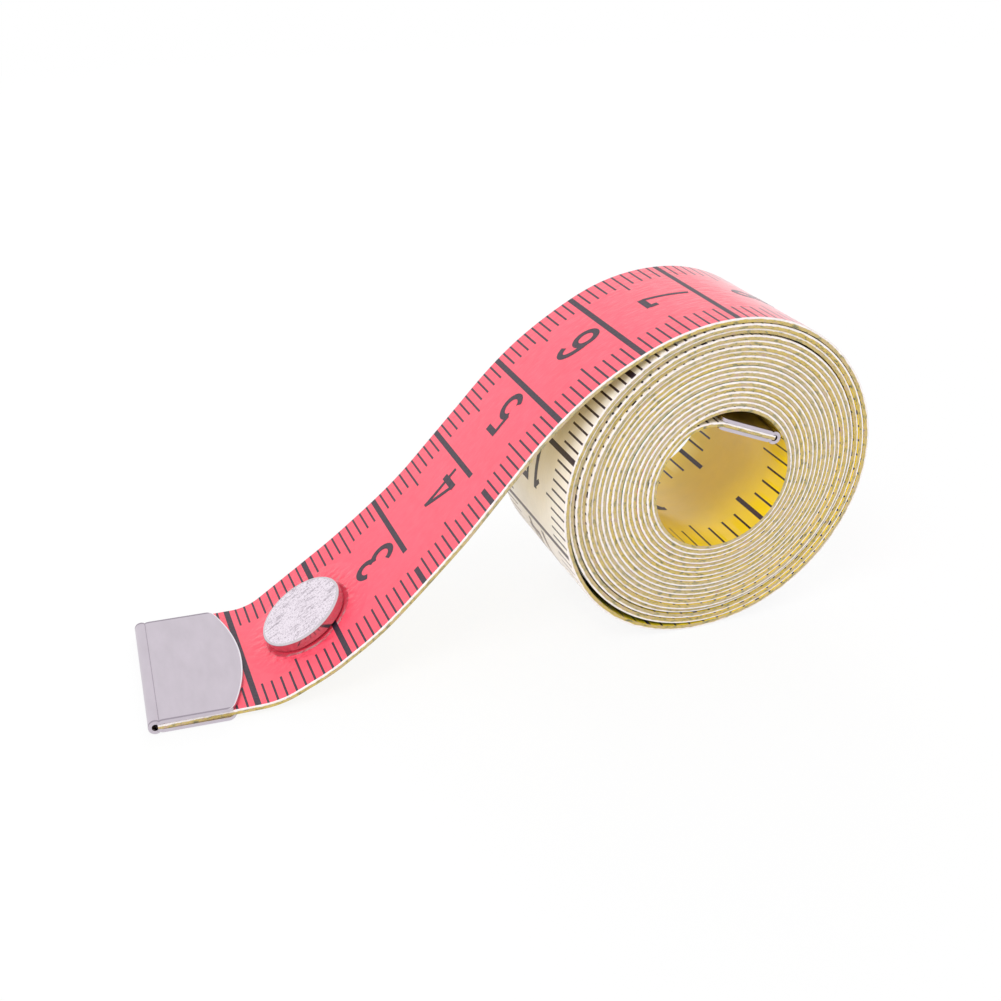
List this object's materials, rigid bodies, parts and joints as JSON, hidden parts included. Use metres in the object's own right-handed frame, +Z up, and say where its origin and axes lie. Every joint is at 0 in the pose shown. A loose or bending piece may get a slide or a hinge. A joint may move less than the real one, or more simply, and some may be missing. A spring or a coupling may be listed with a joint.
{
  "type": "cloth tape measure",
  "caption": "Flexible tailor's tape measure rolled on its edge, with a loose end that lifts and peels, folded metal end clips and a press stud that closes the roll.",
  "frame": {"origin": "on the surface that the part stands on, under the middle of its box", "axes": "+X from the zero end of the tape to the roll, +Y along the roll's axis and across the tape, +Z up"},
  "size_m": [0.0744, 0.02, 0.0326],
  "materials": {
    "tape_red": "coated cloth tape printed coral red, satin",
    "tape_edge": "rolled coated tape, white and yellow edges",
    "tape_yellow": "coated tape, yellow back",
    "clip_tin": "satin tinned steel sheet",
    "snap_silver": "nickel plated brass",
    "spring_wire": "spring wire"
  },
  "bodies": {
    "roll": {"tape_roll": "tape_edge", "snap_stud": "snap_silver", "snap_eyelet": "snap_silver"},
    "turn_1": {"tape_turn_1": "tape_red"},
    "turn_2": {"tape_turn_2": "tape_red"},
    "turn_3": {"tape_turn_3": "tape_red"},
    "turn_4": {"tape_turn_4": "tape_red"},
    "turn_5": {"tape_turn_5": "tape_red"},
    "tail_1": {"tape_tail_1": "tape_red"},
    "tail_2": {"tape_tail_2": "tape_red"},
    "tail_3": {"tape_tail_3": "tape_red"},
    "tail_4": {"tape_tail_4": "tape_red"},
    "tail_5": {"tape_tail_5": "tape_red", "snap_cap": "snap_silver", "snap_socket": "snap_silver", "snap_spring": "spring_wire"},
    "tail_6": {"tape_tail_6": "tape_red", "zero_end_clip": "clip_tin"},
    "inner_end": {"tape_inner_end": "tape_yellow", "inner_end_clip": "clip_tin"}
  },
  "joints": [
    {"name": "peel_1", "type": "hinge", "parent": "roll", "child": "turn_1", "pos_m": [0.03223, 0, 0.0063], "axis": [0, 1, 0], "range_deg": [0, 25], "stiffness_Nm_per_rad": 0.002},
    {"name": "peel_2", "type": "hinge", "parent": "turn_1", "child": "turn_2", "pos_m": [0.03587, 0, 0.01206], "axis": [0, 1, 0], "range_deg": [0, 25], "stiffness_Nm_per_rad": 0.002},
    {"name": "peel_3", "type": "hinge", "parent": "turn_2", "child": "turn_3", "pos_m": [0.0369, 0, 0.0191], "axis": [0, 1, 0], "range_deg": [0, 25], "stiffness_Nm_per_rad": 0.002},
    {"name": "peel_4", "type": "hinge", "parent": "turn_3", "child": "turn_4", "pos_m": [0.03447, 0, 0.02602], "axis": [0, 1, 0], "range_deg": [0, 25], "stiffness_Nm_per_rad": 0.002},
    {"name": "peel_5", "type": "hinge", "parent": "turn_4", "child": "turn_5", "pos_m": [0.0289, 0, 0.03085], "axis": [0, 1, 0], "range_deg": [0, 25], "stiffness_Nm_per_rad": 0.002},
    {"name": "tail_1", "type": "hinge", "parent": "turn_5", "child": "tail_1", "pos_m": [0.02186, 0, 0.03242], "axis": [0, 1, 0], "range_deg": [0, 30], "stiffness_Nm_per_rad": 0.002},
    {"name": "tail_2", "type": "hinge", "parent": "tail_1", "child": "tail_2", "pos_m": [0.01077, 0, 0.02907], "axis": [0, 1, 0], "range_deg": [0, 30], "stiffness_Nm_per_rad": 0.002},
    {"name": "tail_3", "type": "hinge", "parent": "tail_2", "child": "tail_3", "pos_m": [0.00138, 0, 0.02207], "axis": [0, 1, 0], "range_deg": [0, 30], "stiffness_Nm_per_rad": 0.002},
    {"name": "tail_4", "type": "hinge", "parent": "tail_3", "child": "tail_4", "pos_m": [-0.00691, 0, 0.01376], "axis": [0, 1, 0], "range_deg": [0, 30], "stiffness_Nm_per_rad": 0.002},
    {"name": "tail_5", "type": "hinge", "parent": "tail_4", "child": "tail_5", "pos_m": [-0.01603, 0, 0.0064], "axis": [0, 1, 0], "range_deg": [0, 30], "stiffness_Nm_per_rad": 0.002},
    {"name": "tail_6", "type": "hinge", "parent": "tail_5", "child": "tail_6", "pos_m": [-0.02622, 0, 0.00066], "axis": [0, 1, 0], "range_deg": [0, 30], "stiffness_Nm_per_rad": 0.002},
    {"name": "inner_end_flex", "type": "hinge", "parent": "roll", "child": "inner_end", "pos_m": [0.02006, 0, 0.02231], "axis": [0, 1, 0], "range_deg": [-2, 25], "stiffness_Nm_per_rad": 0.002}
  ],
  "couplings": [
    {"joint": "tail_2", "follows": "tail_1", "ratio": 1},
    {"joint": "tail_3", "follows": "tail_1", "ratio": 1},
    {"joint": "tail_4", "follows": "tail_1", "ratio": 1},
    {"joint": "tail_5", "follows": "tail_1", "ratio": 1},
    {"joint": "tail_6", "follows": "tail_1", "ratio": 1}
  ]
}
